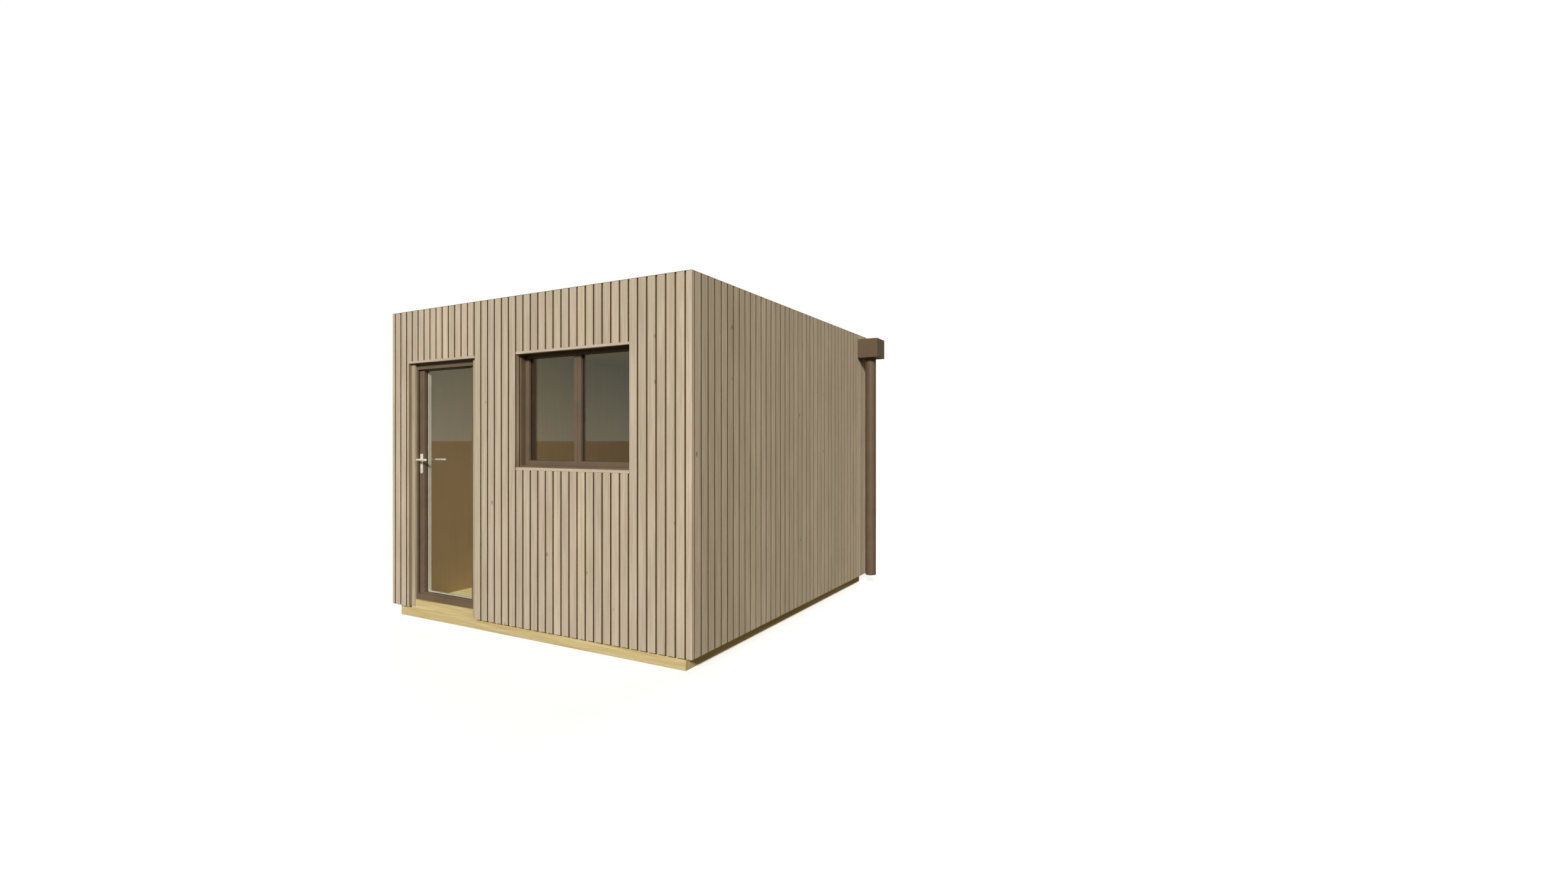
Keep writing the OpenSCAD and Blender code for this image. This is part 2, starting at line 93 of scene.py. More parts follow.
# Handles: a plate is its width, height and thickness, a button its radius and rise
HANDLE_PLATE = (0.032, 0.160, 0.008)
HANDLE_RADIUS = 0.0095
WINDOW_PLATE = (0.024, 0.062, 0.009)
WINDOW_LEVER_RADIUS = 0.0075
PLATE_ROUND = 0.009
PLATE_EASE = 0.0015
TUBE_SIDES = 24
LEVER_DROP = 0.048
LEVER_BEND = 0.016
LEVER_BEND_STEPS = 6
LEVER_END_STEPS = 5
LEVER_NECK_SHARE = 0.92
LEVER_GRIP_SHARE = 0.55
NECK_RING_SHARE = 1.35
NECK_RING = (HANDLE_RADIUS * NECK_RING_SHARE, 0.005)
LOCK_BUTTON = (0.0085, 0.002)
LOCK_HEIGHT = 0.047
SCREW_BUTTON = (0.0035, 0.0012)
SCREW_INSET = 0.012
WINDOW_SCREW_BUTTON = (0.003, 0.001)
WINDOW_SCREW_SHARE = 0.36
BUTTON_RISE_SHARES = (0, 0.5, 0.85, 1)
BUTTON_WIDTH_SHARES = (1, 0.97, 0.75, 0.35)

# Edges of the solids that stay
WELD_DISTANCE = 0.00005
EASE_SEGMENTS = 2
EASE_ANGLE = math.radians(40)
EASED_SOLIDS = (
    "rim_joists_front_back", "rim_joists_sides", "door_threshold", "door_frame_sill", "head_trims",
    "window_sill_trim", "door_side_trims", "door_jamb_left", "door_jamb_right", "door_head", "hopper",
)
EASED_METAL_TRIMS = ("roof_trim_front_back", "roof_trim_sides")

# Camera, fitted to the photo: its place, its level line of sight and its lens
CAMERA_PLACE = (3.8566, -4.7676, 1.4249)
CAMERA_AZIMUTH = math.radians(27.756)
CAMERA_LENS_MM = 15.0
CAMERA_SENSOR_MM = 36.0

# Light: a low sun off the front's right, soft fills from the right and the back, and a dim lamp in the room
SUN_AZIMUTH = math.radians(22.5)
SUN_HEIGHT = math.radians(27.5)
SUN_STRENGTH = 4.0
SUN_SIZE = math.radians(9.0)
SUN_COLOUR = (1.0, 0.985, 0.955)
SIDE_AZIMUTH = math.radians(90.0)
SIDE_HEIGHT = math.radians(15.0)
SIDE_STRENGTH = 0.33
SIDE_SIZE = math.radians(50.0)
SIDE_COLOUR = (1.0, 0.8, 0.41)
FILL_AZIMUTH = math.radians(207.0)
FILL_HEIGHT = math.radians(38.0)
FILL_STRENGTH = 2.4
FILL_SIZE = math.radians(60.0)
FILL_COLOUR = (1.0, 1.0, 1.0)
ROOM_LAMP_POWER = 8.8
ROOM_LAMP_SIZE = 0.5
ROOM_LAMP_PLACE = (0.9, -1.1, 1.1)

# What the sun and the lamp are kept off
FRONT_WALLS = ["front_wall_piers", "front_wall_over_openings", "front_wall_under_window"]
INNER_WALLS = ["left_wall", "right_wall", "back_wall", "ceiling"] + FRONT_WALLS
WINDOW_PIECES = ["window_frame_bars", "window_sash_bars", "window_lever_handle"]

# Sky and ground: what lights the object, and what its glass mirrors
SKY_LIGHT = (0.07, 0.07, 0.068)
SKY_MIRROR_LOW = (0.66, 0.75, 0.61)
SKY_MIRROR_MID = (0.25, 0.42, 0.38)
SKY_MIRROR_HIGH = (0.22, 0.34, 0.36)
SKY_MID_RISE = 0.12
SKY_HIGH_RISE = 0.9
GROUND_LIGHT = (0.085, 0.06, 0.037)
GROUND_MIRROR = (0.35, 0.30, 0.19)

# Floor under the object
FLOOR_RADIUS = 4000.0
FLOOR_SIDES = 128
FLOOR_FADE_START = 3.0
FLOOR_FADE_END = 8.0
FLOOR_COLOUR = (0.92, 0.91, 0.89)
FLOOR_GLOW = 0.35

# Patterns: spans are the parts of a noise's range that are used, scales are repeats in a metre
MIDDLE_SPAN = (0.3, 0.7)
BROAD_SPAN = (0.25, 0.75)
STREAK_SPAN = (0.32, 0.68)
FIBRE_SPAN = (0.2, 0.8)
DUST_SPAN = (0.42, 0.78)
FIBRE_ALONG_SHARE = 2.5
FIBRE_ACROSS_SHARE = 5
CLOUD_SCALE = 1.7
CLOUD_SHADES = (0.95, 1.05)
# Depths in a groove over which the painted shade of the joints comes in
GROOVE_PAINTED_SHADE_DEPTHS = (0.0002, 0.0012)
MOTTLE_SCALE = 6.0
MOTTLE_SHADES = (0.9, 1.1)
MOTTLE_GLOSS = 0.06
BRUSH_SCALES = (60.0, 1400.0)
BRUSH_GLOSS = 0.07
STAIN_SCALE = 9.0
STAIN_SHADE = 0.92
DUST_SCALE = 2.4
DUST_GLOSS = 0.12
SHEET_SKIN_SCALE = 260.0

# A board's tone, from 0 to 1, moves its pattern by these steps and turns its hue this many times
PATTERN_STEPS = (13.7, 29.3, 41.9)
HUE_TURNS = 7.31

# Knots: cells in a metre along and across the grain, a spot's radii in cells, its strength and its shade
KNOT_SCALES = (5.5, 9.0)
KNOT_RADII = (0.05, 0.12)
KNOT_STRENGTH = 0.62
KNOT_SHADE = 0.28

# Bumps, each a strength and a depth, and shares of light thrown back
WOOD_BUMP = (0.25, 0.0006)
COATING_BUMP = (0.12, 0.0004)
METAL_BUMP = (0.08, 0.0002)
SHEET_BUMP = (0.15, 0.001)
MATT_SPECULAR = 0.3
METAL_SPECULAR = 0.5
PANE_ROUGHNESS = 0.015
PANE_MIRROR_POWER = 5.0


def tone(red, green, blue):
    """A colour given in 8-bit screen values, as the linear values that shaders take."""
    return tuple(
        c / 255 / 12.92 if c / 255 <= 0.04045 else ((c / 255 + 0.055) / 1.055) ** 2.4
        for c in (red, green, blue)
    )


# Colours
WHITE = (1, 1, 1)
BEIGE = tone(197, 183, 163)
BEIGE_DARK = tone(178, 163, 141)
UPRIGHT = tone(175, 164, 139)
UPRIGHT_DARK = tone(158, 146, 120)
# Reveal strips: the beige boards with painted shade, darker than the wall's faces
REVEAL = tone(139, 124, 101)
REVEAL_DARK = tone(126, 110, 87)
YELLOW = tone(206, 190, 142)
YELLOW_DARK = tone(184, 163, 110)
PLANK = tone(250, 240, 172)
PLANK_DARK = tone(238, 220, 148)
LINING = tone(191, 155, 100)
LINING_DARK = tone(186, 150, 95)
SAWN = tone(176, 150, 104)
SAWN_DARK = tone(150, 122, 80)
BROWN = tone(102, 86, 69)
SHADE_BROWN = tone(94, 77, 58)
OFF_WHITE = tone(226, 222, 203)
SHEET_BLACK = (0.045, 0.045, 0.045)
GASKET_BLACK = (0.035, 0.027, 0.019)
DUST = (0.22, 0.20, 0.17)
TRIM_GREY = (0.50, 0.49, 0.46)
HINGE_GREY = (0.52, 0.50, 0.47)
WARM_SILVER = (0.86, 0.76, 0.68)
PANE_TINT = (0.97, 0.98, 0.97)
# Painted shade that darkens the grooves between boards
GROOVE_PAINTED_SHADE = (0.335, 0.275, 0.185)
ROSY_TINT = (1.012, 1.0, 1.01)
YELLOW_TINT = (0.99, 1.0, 0.965)


# Node helpers

def add(tree, kind, inputs=None, **settings):
    """A shader node with its settings and inputs; an input is a value or another node's output."""
    made = tree.nodes.new("ShaderNode" + kind)
    for key, value in settings.items():
        setattr(made, key, value)
    for key, value in (inputs or {}).items():
        if isinstance(value, bpy.types.NodeSocket):
            tree.links.new(value, made.inputs[key])
        else:
            made.inputs[key].default_value = value
    return made


def cleared(owner):
    """The node tree of a material or a world, emptied."""
    owner.use_nodes = True
    owner.node_tree.nodes.clear()
    return owner.node_tree


def blank(name):
    """A new material with its output and one Principled shader, whose node is returned with the tree."""
    made = bpy.data.materials.new(name)
    tree = cleared(made)
    shader = add(tree, "BsdfPrincipled")
    add(tree, "OutputMaterial", {"Surface": shader.outputs["BSDF"]})
    return made, tree, shader


def mixed(tree, share, first, second):
    """The colour between two colours, each a socket or a linear colour; a Mix node takes them at 6 and 7."""
    inputs = {0: share}
    for key, colour in ((6, first), (7, second)):
        inputs[key] = colour if isinstance(colour, bpy.types.NodeSocket) else (*colour, 1)
    return add(tree, "Mix", inputs, data_type="RGBA").outputs[2]


def ranged(tree, value, low, high, to_low, to_high, smooth=False):
    """A value carried from one range to another."""
    kind = "SMOOTHSTEP" if smooth else "LINEAR"
    inputs = {"Value": value, "From Min": low, "From Max": high, "To Min": to_low, "To Max": to_high}
    return add(tree, "MapRange", inputs, interpolation_type=kind).outputs["Result"]


def maths(tree, operation, first, second):
    """A sum on two numbers."""
    return add(tree, "Math", {0: first, 1: second}, operation=operation).outputs[0]


def vector(tree, operation, first, second):
    """A sum on two places or colours."""
    return add(tree, "VectorMath", {0: first, 1: second}, operation=operation).outputs[0]


def scaled(tree, colour, factor):
    """A colour times a number."""
    return add(tree, "VectorMath", {0: colour, "Scale": factor}, operation="SCALE").outputs[0]


def noise(tree, place, scale, detail=3.0, rough=0.55, twist=0.0):
    """A cloudy pattern from 0 to 1."""
    inputs = {"Vector": place, "Scale": scale, "Detail": detail, "Roughness": rough, "Distortion": twist}
    return add(tree, "TexNoise", inputs).outputs["Fac"]


def stretched(tree, place, axis, along, across):
    """A place for a pattern with one scale along an axis and another across it."""
    return vector(tree, "MULTIPLY", place, [along if name == axis else across for name in "xyz"])


def finished(tree, shader, colour, rough, height, bump, specular=MATT_SPECULAR):
    """Gives a shader its colour, roughness, gloss and bump."""
    strength, distance = bump
    bumped = add(tree, "Bump", {"Height": height, "Strength": strength, "Distance": distance})
    tree.links.new(colour, shader.inputs["Base Color"])
    tree.links.new(rough, shader.inputs["Roughness"])
    tree.links.new(bumped.outputs["Normal"], shader.inputs["Normal"])
    shader.inputs["Specular IOR Level"].default_value = specular


# Materials

def knot_spots(tree, place, share):
    """Small round spots in a share of the cells of a pattern."""
    cell = add(tree, "TexVoronoi", {"Vector": place, "Scale": 1.0}).outputs
    drawn = add(tree, "SeparateColor", {"Color": cell["Color"]}).outputs[0]
    spot = ranged(tree, cell["Distance"], *KNOT_RADII, 1.0, 0.0, smooth=True)
    return maths(tree, "MULTIPLY", spot, maths(tree, "LESS_THAN", drawn, share))


def wood(name, pale, dark, grain, across=70.0, along=2.2, board_range=(1.0, 1.0), knots=0.0,
         rough=(0.55, 0.72), fibres=(0.93, 1.06)):
    """Planed timber: streaks along the grain axis, fine fibres, slow clouds, tone by board and small knots.

    A board's tone also moves its pattern and turns its hue. Points darken with their depth in a groove:
    painted shade in the joints."""
    made, tree, shader = blank(name)
    board = add(tree, "Attribute", attribute_name=TONE_LAYER).outputs["Fac"]
    moves = {axis: maths(tree, "MULTIPLY", board, step) for axis, step in zip("XYZ", PATTERN_STEPS)}
    place = add(tree, "TexCoord").outputs["Object"]
    place = vector(tree, "ADD", place, add(tree, "CombineXYZ", moves).outputs[0])
    fine = along * FIBRE_ALONG_SHARE, across * FIBRE_ACROSS_SHARE
    streak = noise(tree, stretched(tree, place, grain, along, across), 1.0, detail=4.0, rough=0.6, twist=0.7)
    fibre = noise(tree, stretched(tree, place, grain, *fine), 1.0, detail=2.0, rough=0.5)
    cloud = noise(tree, place, CLOUD_SCALE, detail=2.0, rough=0.5)

    colour = mixed(tree, ranged(tree, streak, *STREAK_SPAN, 0.0, 1.0, smooth=True), dark, pale)
    shade = maths(tree, "MULTIPLY", ranged(tree, fibre, *FIBRE_SPAN, *fibres),
                  ranged(tree, cloud, *BROAD_SPAN, *CLOUD_SHADES))
    shade = maths(tree, "MULTIPLY", shade, ranged(tree, board, 0.0, 1.0, *board_range))
    colour = scaled(tree, colour, shade)
    turn = maths(tree, "FRACT", maths(tree, "MULTIPLY", board, HUE_TURNS), 0.0)
    colour = vector(tree, "MULTIPLY", colour, mixed(tree, turn, ROSY_TINT, YELLOW_TINT))
    # Painted shade in the grooves, growing with a point's depth
    depth = add(tree, "Attribute", attribute_name=DEPTH_LAYER).outputs["Fac"]
    shaded = ranged(tree, depth, *GROOVE_PAINTED_SHADE_DEPTHS, 0.0, 1.0)
    colour = vector(tree, "MULTIPLY", colour, mixed(tree, shaded, WHITE, GROOVE_PAINTED_SHADE))
    height = maths(tree, "ADD", streak, fibre)
    if knots:
        knot = knot_spots(tree, stretched(tree, place, grain, *KNOT_SCALES), knots)
        strength = maths(tree, "MULTIPLY", knot, KNOT_STRENGTH)
        colour = mixed(tree, strength, colour, [c * KNOT_SHADE for c in dark])
        height = maths(tree, "SUBTRACT", height, knot)
    finished(tree, shader, colour, ranged(tree, streak, *MIDDLE_SPAN, *rough), height, WOOD_BUMP)
    return made


def coated(name, base, rough, grain_scale):
    """A satin coating or moulded profile: faint mottling, a fine skin texture and uneven gloss."""
    made, tree, shader = blank(name)
    place = add(tree, "TexCoord").outputs["Object"]
    mottle = noise(tree, place, MOTTLE_SCALE, detail=4.0)
    grain = noise(tree, place, grain_scale, detail=2.0)
    darker, paler = ([c * shade for c in base] for shade in MOTTLE_SHADES)
    colour = mixed(tree, ranged(tree, mottle, *MIDDLE_SPAN, 0.0, 1.0), darker, paler)
    uneven = ranged(tree, mottle, *BROAD_SPAN, rough - MOTTLE_GLOSS, rough + MOTTLE_GLOSS)
    finished(tree, shader, colour, uneven, grain, COATING_BUMP)
    return made


def metal(name, base, rough, brush, metallic=1.0):
    """Satin metal with fine brush marks along the brush axis."""
    made, tree, shader = blank(name)
    place = add(tree, "TexCoord").outputs["Object"]
    marks = noise(tree, stretched(tree, place, brush, *BRUSH_SCALES), 1.0, detail=2.0)
    stain = noise(tree, place, STAIN_SCALE, detail=3.0)
    colour = mixed(tree, ranged(tree, stain, *MIDDLE_SPAN, 0.0, 1.0), [c * STAIN_SHADE for c in base], base)
    uneven = ranged(tree, marks, *MIDDLE_SPAN, rough - BRUSH_GLOSS, rough + BRUSH_GLOSS)
    shader.inputs["Metallic"].default_value = metallic
    finished(tree, shader, colour, uneven, marks, METAL_BUMP, METAL_SPECULAR)
    return made


def rubber(name, base, rough, dust):
    """Matt dark sheet with pale dust in soft patches and a light skin texture."""
    made, tree, shader = blank(name)
    place = add(tree, "TexCoord").outputs["Object"]
    patches = noise(tree, place, DUST_SCALE, detail=5.0, rough=0.62)
    grain = noise(tree, place, SHEET_SKIN_SCALE, detail=2.0)
    colour = mixed(tree, ranged(tree, patches, *DUST_SPAN, 0.0, dust, smooth=True), base, DUST)
    uneven = ranged(tree, patches, *MIDDLE_SPAN, rough, rough + DUST_GLOSS)
    finished(tree, shader, colour, uneven, maths(tree, "ADD", patches, grain), SHEET_BUMP)
    return made


def glass(name, tint, mirror):
    """Clear pane: it lets light straight through, and mirrors more of it the flatter it is met."""
    made = bpy.data.materials.new(name)
    tree = cleared(made)
    facing = add(tree, "LayerWeight", {"Blend": 0.5}).outputs["Facing"]
    share = ranged(tree, maths(tree, "POWER", facing, PANE_MIRROR_POWER), 0.0, 1.0, mirror, 1.0)
    clear = add(tree, "BsdfTransparent", {"Color": (*tint, 1)})
    gloss = add(tree, "BsdfGlossy", {"Color": (*WHITE, 1), "Roughness": PANE_ROUGHNESS})
    both = add(tree, "MixShader", {0: share, 1: clear.outputs[0], 2: gloss.outputs[0]})
    add(tree, "OutputMaterial", {"Surface": both.outputs[0]})
    return made


def lining(name, grain):
    """Plain ply lining of the room."""
    return wood(name, LINING, LINING_DARK, grain, across=26.0, along=1.4, fibres=(0.985, 1.012))


MATERIALS = {
    "cladding": wood("stained_boards", BEIGE, BEIGE_DARK, "z", board_range=(0.90, 1.06), knots=0.2),
    "cladding_trim": wood("stained_strips", BEIGE, BEIGE_DARK, "x"),
    "cladding_trim_upright": wood("stained_uprights", UPRIGHT, UPRIGHT_DARK, "z", knots=0.2),
    # The reveal strips' finish is the beige with painted shade
    "cladding_reveal": wood("reveal_painted_shade", REVEAL, REVEAL_DARK, "z"),
    "base_timber": wood("base_timber_x", YELLOW, YELLOW_DARK, "x", across=38.0, along=1.6),
    "base_timber_y": wood("base_timber_y", YELLOW, YELLOW_DARK, "y", across=38.0, along=1.6),
    "floor_board": wood("floor_boards", PLANK, PLANK_DARK, "x", across=45.0, board_range=(0.92, 1.05),
                        knots=0.15),
    "wall_panel": lining("wall_lining", "z"),
    "ceiling_panel": lining("ceiling_lining", "y"),
    "batten_timber": wood("sawn_timber", SAWN, SAWN_DARK, "y", rough=(0.7, 0.85)),
    "roof_sheet": rubber("roof_sheet_skin", SHEET_BLACK, rough=0.72, dust=0.22),
    "gasket": rubber("gasket_rubber", GASKET_BLACK, rough=0.6, dust=0.0),
    "roof_metal": metal("trim_metal", TRIM_GREY, rough=0.42, brush="x"),
    "rainwater": coated("rainwater_coating", SHADE_BROWN, rough=0.58, grain_scale=900.0),
    "brown_frame": coated("frame_finish", BROWN, rough=0.44, grain_scale=700.0),
    "pale_bead": coated("bead_finish", OFF_WHITE, rough=0.38, grain_scale=700.0),
    "clear_glass": glass("pane_glass", PANE_TINT, mirror=0.07),
    "handle_metal": metal("handle_finish", WARM_SILVER, rough=0.38, brush="x", metallic=0.35),
    "hinge_metal": metal("hinge_finish", HINGE_GREY, rough=0.36, brush="z"),
}


# Mesh helpers

def placed(name, data):
    """An object of the data, put in the scene."""
    made = bpy.data.objects.new(name, data)
    bpy.context.scene.collection.objects.link(made)
    return made


def rounded(points):
    """An outline whose corners, each (a, b, radius), are turned into short curves."""
    outline = []
    for i, (a, b, radius) in enumerate(points):
        corner = Vector((a, b))
        if not radius:
            outline.append(corner)
            continue
        before = Vector(points[i - 1][:2])
        after = Vector(points[(i + 1) % len(points)][:2])
        start = corner + (before - corner).normalized() * radius
        end = corner + (after - corner).normalized() * radius
        for step in range(ROUND_STEPS + 1):
            t = step / ROUND_STEPS
            outline.append(start * (1 - t) ** 2 + corner * 2 * t * (1 - t) + end * t ** 2)
    return outline


def skin(mesh, loops):
    """Faces between neighbouring loops of as many vertices, with a cap on each end."""
    for first, second in zip(loops, loops[1:]):
        for i in range(len(first)):
            j = (i + 1) % len(first)
            mesh.faces.new((first[i], first[j], second[j], second[i]))
    mesh.faces.new(loops[0][::-1])
    mesh.faces.new(loops[-1])


def board_mesh():
    """An empty mesh whose points hold their board's tone and their depth in a groove, which sets their
    painted shade.
    """
    mesh = bmesh.new()
    mesh.verts.layers.float.new(TONE_LAYER)
    mesh.verts.layers.float.new(DEPTH_LAYER)
    return mesh


def prism(mesh, outline, place, low, high, value, depths=None):
    """A closed board in a board mesh: its outline carried from low to high by place(a, b, distance)."""
    layers = mesh.verts.layers.float
    loops = [[mesh.verts.new(place(a, b, at)) for a, b in outline] for at in (low, high)]
    for loop in loops:
        for i, vertex in enumerate(loop):
            vertex[layers[TONE_LAYER]] = value
            vertex[layers[DEPTH_LAYER]] = depths[i] if depths else 0.0
    skin(mesh, loops)


def piece(name, mesh, material, body, replaced=(), smooth=False):
    """Makes an object of the mesh, which rides on a body and may stand for solids."""
    bmesh.ops.recalc_face_normals(mesh, faces=mesh.faces)
    data = bpy.data.meshes.new(name)
    mesh.to_mesh(data)
    mesh.free()
    data.materials.append(MATERIALS[material])
    for face in data.polygons:
        face.use_smooth = smooth
    made = placed(name, data)
    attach(made, body)
    if replaced:
        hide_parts(*replaced)
    return made


# Cladding

def board_tone(wall, index):
    """One board's tone and its small step back from the wall's face."""
    draw = random.Random(f"{wall} board {index}")
    return draw.random(), draw.uniform(0.0, BOARD_SHIFT)


def board_outline(start, end, index, first, thick, step):
    """The part of one tongued board between start and end of a run, or None if it has none there."""
    half = GROOVE_WIDTH / 2
    low = max(start, first + (index - 1) * BOARD_PITCH + half)
    high = min(end, first + index * BOARD_PITCH - half)
    tongue_low = max(start, first + index * BOARD_PITCH - half)
    tongue_high = min(end, first + index * BOARD_PITCH + half - TONGUE_GAP)
    if high - low > 2 * BOARD_ROUND:
        corners = [(low, step, BOARD_ROUND), (high, step, BOARD_ROUND)]
        if tongue_high > high:
            corners += [(high, GROOVE_DEPTH, 0), (tongue_high, GROOVE_DEPTH, 0), (tongue_high, thick, 0)]
        else:
            corners += [(high, thick, 0)]
        return rounded(corners + [(low, thick, 0)])
    if tongue_high > tongue_low:
        return rounded([(tongue_low, GROOVE_DEPTH, 0), (tongue_high, GROOVE_DEPTH, 0),
                        (tongue_high, thick, 0), (tongue_low, thick, 0)])
    return None


def board_run(mesh, wall, place, start, end, first, thick, low, high, wall_ends=None):
    """Boards between start and end, measured from the wall's first corner.

    Edges get painted shade by their depth in a groove, a lighter painted shade where a board is cut, and
    none at the wall's ends."""
    corners = wall_ends or (start, end)

    def painted_shade_depth(a, depth):
        if min(abs(a - corner) for corner in corners) < TONGUE_GAP:
            return 0.0
        if min(abs(a - start), abs(a - end)) < TONGUE_GAP:
            return min(depth, CUT_EDGE_PAINTED_SHADE_DEPTH)
        return depth

    grooves = int((end - first) / BOARD_PITCH) + 1
    for index in range(grooves + 1):
        value, step = board_tone(wall, index)
        outline = board_outline(start, end, index, first, thick, step)
        if outline:
            depths = [painted_shade_depth(a, b - step) for a, b in outline]
            prism(mesh, outline, place, low, high, value, depths)


def front_cladding():
    """Boards of the front, cut round the door and the window."""
    low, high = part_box("front_cladding_piers")
    thick = high.y - low.y
    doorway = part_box("door_head")
    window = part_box("window_frame")
    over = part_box("front_cladding_over_openings")
    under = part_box("front_cladding_under_window")
    wall_ends = (0, high.x - low.x)

    def place(a, b, z):
        return high.x - a, low.y + b, z

    def runs(name, node, spans, low_z, high_z):
        mesh = board_mesh()
        for left, right in spans:
            board_run(mesh, "front", place, high.x - right, high.x - left, FRONT_FIRST_GROOVE, thick,
                      low_z, high_z, wall_ends)
        piece(name, mesh, "cladding", "building", [node])

    piers = [(low.x, doorway[0].x), (doorway[1].x, window[0].x), (window[1].x, high.x)]
    heads = [(doorway[0].x, doorway[1].x), (window[0].x, window[1].x)]
    runs("front_boards", "front_cladding_piers", piers, low.z, high.z)
    runs("front_boards_over_openings", "front_cladding_over_openings", heads, over[0].z, over[1].z)
    runs("front_boards_under_window", "front_cladding_under_window", heads[1:], under[0].z, under[1].z)


def back_cladding():
    """Boards of the back."""
    low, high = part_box("back_cladding")
    mesh = board_mesh()
    board_run(mesh, "back", lambda a, b, z: (high.x - a, high.y - b, z), 0, high.x - low.x,
              FRONT_FIRST_GROOVE, high.y - low.y, low.z, high.z)
    piece("back_boards", mesh, "cladding", "building", ["back_cladding"])


def left_cladding():
    """Boards of the left wall."""
    low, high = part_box("left_cladding")
    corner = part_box("front_cladding_piers")[0].y
    mesh = board_mesh()
    board_run(mesh, "left", lambda a, b, z: (low.x + b, corner + a, z), low.y - corner, high.y - corner,
              SIDE_FIRST_GROOVE, high.x - low.x, low.z, high.z)
    piece("left_boards", mesh, "cladding", "building", ["left_cladding"])


def right_cladding():
    """Boards of the right wall; those behind the hopper are cut round the roof outlet."""
    low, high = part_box("right_cladding")
    hole_low, hole_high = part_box("roof_outlet")
    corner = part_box("front_cladding_piers")[0].y
    start, end = low.y - corner, high.y - corner
    mesh = board_mesh()

    def run(run_start, run_end, low_z, high_z):
        board_run(mesh, "right", lambda a, b, z: (high.x - b, corner + a, z), run_start, run_end,
                  SIDE_FIRST_GROOVE, high.x - low.x, low_z, high_z, (start, end))

    def groove_side(distance, rounding):
        """The board joint next to a place along the wall."""
        count = rounding((distance - SIDE_FIRST_GROOVE - GROOVE_WIDTH / 2) / BOARD_PITCH)
        return SIDE_FIRST_GROOVE + GROOVE_WIDTH / 2 + count * BOARD_PITCH

    hole_start, hole_end = hole_low.y - corner, hole_high.y - corner
    cut_start, cut_end = groove_side(hole_start, math.floor), groove_side(hole_end, math.ceil)
    run(start, cut_start, low.z, high.z)
    run(cut_end, end, low.z, high.z)
    run(cut_start, cut_end, low.z, hole_low.z)
    run(cut_start, hole_start, hole_low.z, hole_high.z)
    run(hole_end, cut_end, hole_low.z, hole_high.z)
    run(cut_start, cut_end, hole_high.z, high.z)
    piece("right_boards", mesh, "cladding", "building", ["right_cladding"])


# Floor boards

def floor_planks():
    """Boards of the floor, laid from side to side behind an edge strip that shows under the door."""
    low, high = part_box("floor_deck")
    thick = high.z - low.z
    first = low.y + FLOOR_EDGE
    count = round((high.y - first) / PLANK_WIDTH)
    width = (high.y - first) / count

    def plank(mesh, start, end, value):
        outline = rounded([(start, 0, EDGE_ROUND), (end, 0, EDGE_ROUND), (end, thick, 0), (start, thick, 0)])
        prism(mesh, outline, lambda a, b, x: (x, a, high.z - b), low.x, high.x, value)

    planks = board_mesh()
    for index in range(count):
        start = first + index * width
        end = start + width - (PLANK_GAP if index < count - 1 else 0)
        plank(planks, start, end, board_tone("floor", index)[0])
    piece("floor_planks", planks, "floor_board", "building", ["floor_deck"])

    strip = board_mesh()
    plank(strip, low.y, first - PLANK_GAP, 0.0)
    piece("floor_edge_strip", strip, "base_timber", "building")


# Frames of the door and the window

def mitred_bars(mesh, low, high, bars, section):
    """Four bars with mitred ends inside the corners (x, z) low and high.

    bars are the widths left, right, bottom and top; section(width) gives a bar's outline as (w, y) points,
    with w measured outwards from its inner edge."""
    left, right, bottom, top = bars
    inner_low = (low[0] + left, low[1] + bottom)
    inner_high = (high[0] - right, high[1] - top)
    gap = MITRE_GAP / 2

    def bar(starts, ends):
        skin(mesh, [[mesh.verts.new(point) for point in points] for points in (starts, ends)])

    def level(width, z, outwards):
        outline = section(width)
        bar([(inner_low[0] - w * left / width + gap, y, z + outwards * w) for w, y in outline],
            [(inner_high[0] + w * right / width - gap, y, z + outwards * w) for w, y in outline])

    def upright(width, x, outwards):
        outline = section(width)
        bar([(x + outwards * w, y, inner_low[1] - w * bottom / width + gap) for w, y in outline],
            [(x + outwards * w, y, inner_high[1] + w * top / width - gap) for w, y in outline])

    level(bottom, inner_low[1], -1)
    level(top, inner_high[1], 1)
    upright(left, inner_low[0], -1)
    upright(right, inner_high[0], 1)


def box_section(front, back, ease=EDGE_ROUND, outer_ease=None):
    """A plain bar section with eased edges, whose outer edges may be eased by another radius."""
    outer = ease if outer_ease is None else outer_ease
    return lambda width: rounded([(0, front, ease), (width, front, outer),
                                  (width, back, outer), (0, back, ease)])


def gasket_ring(mesh, low, high, front, back):
    """A thin seal inside an opening with the corners (x, z) low and high."""
    mitred_bars(mesh, low, high, [GASKET_WIDTH] * 4, box_section(front, back, GASKET_ROUND, 0))


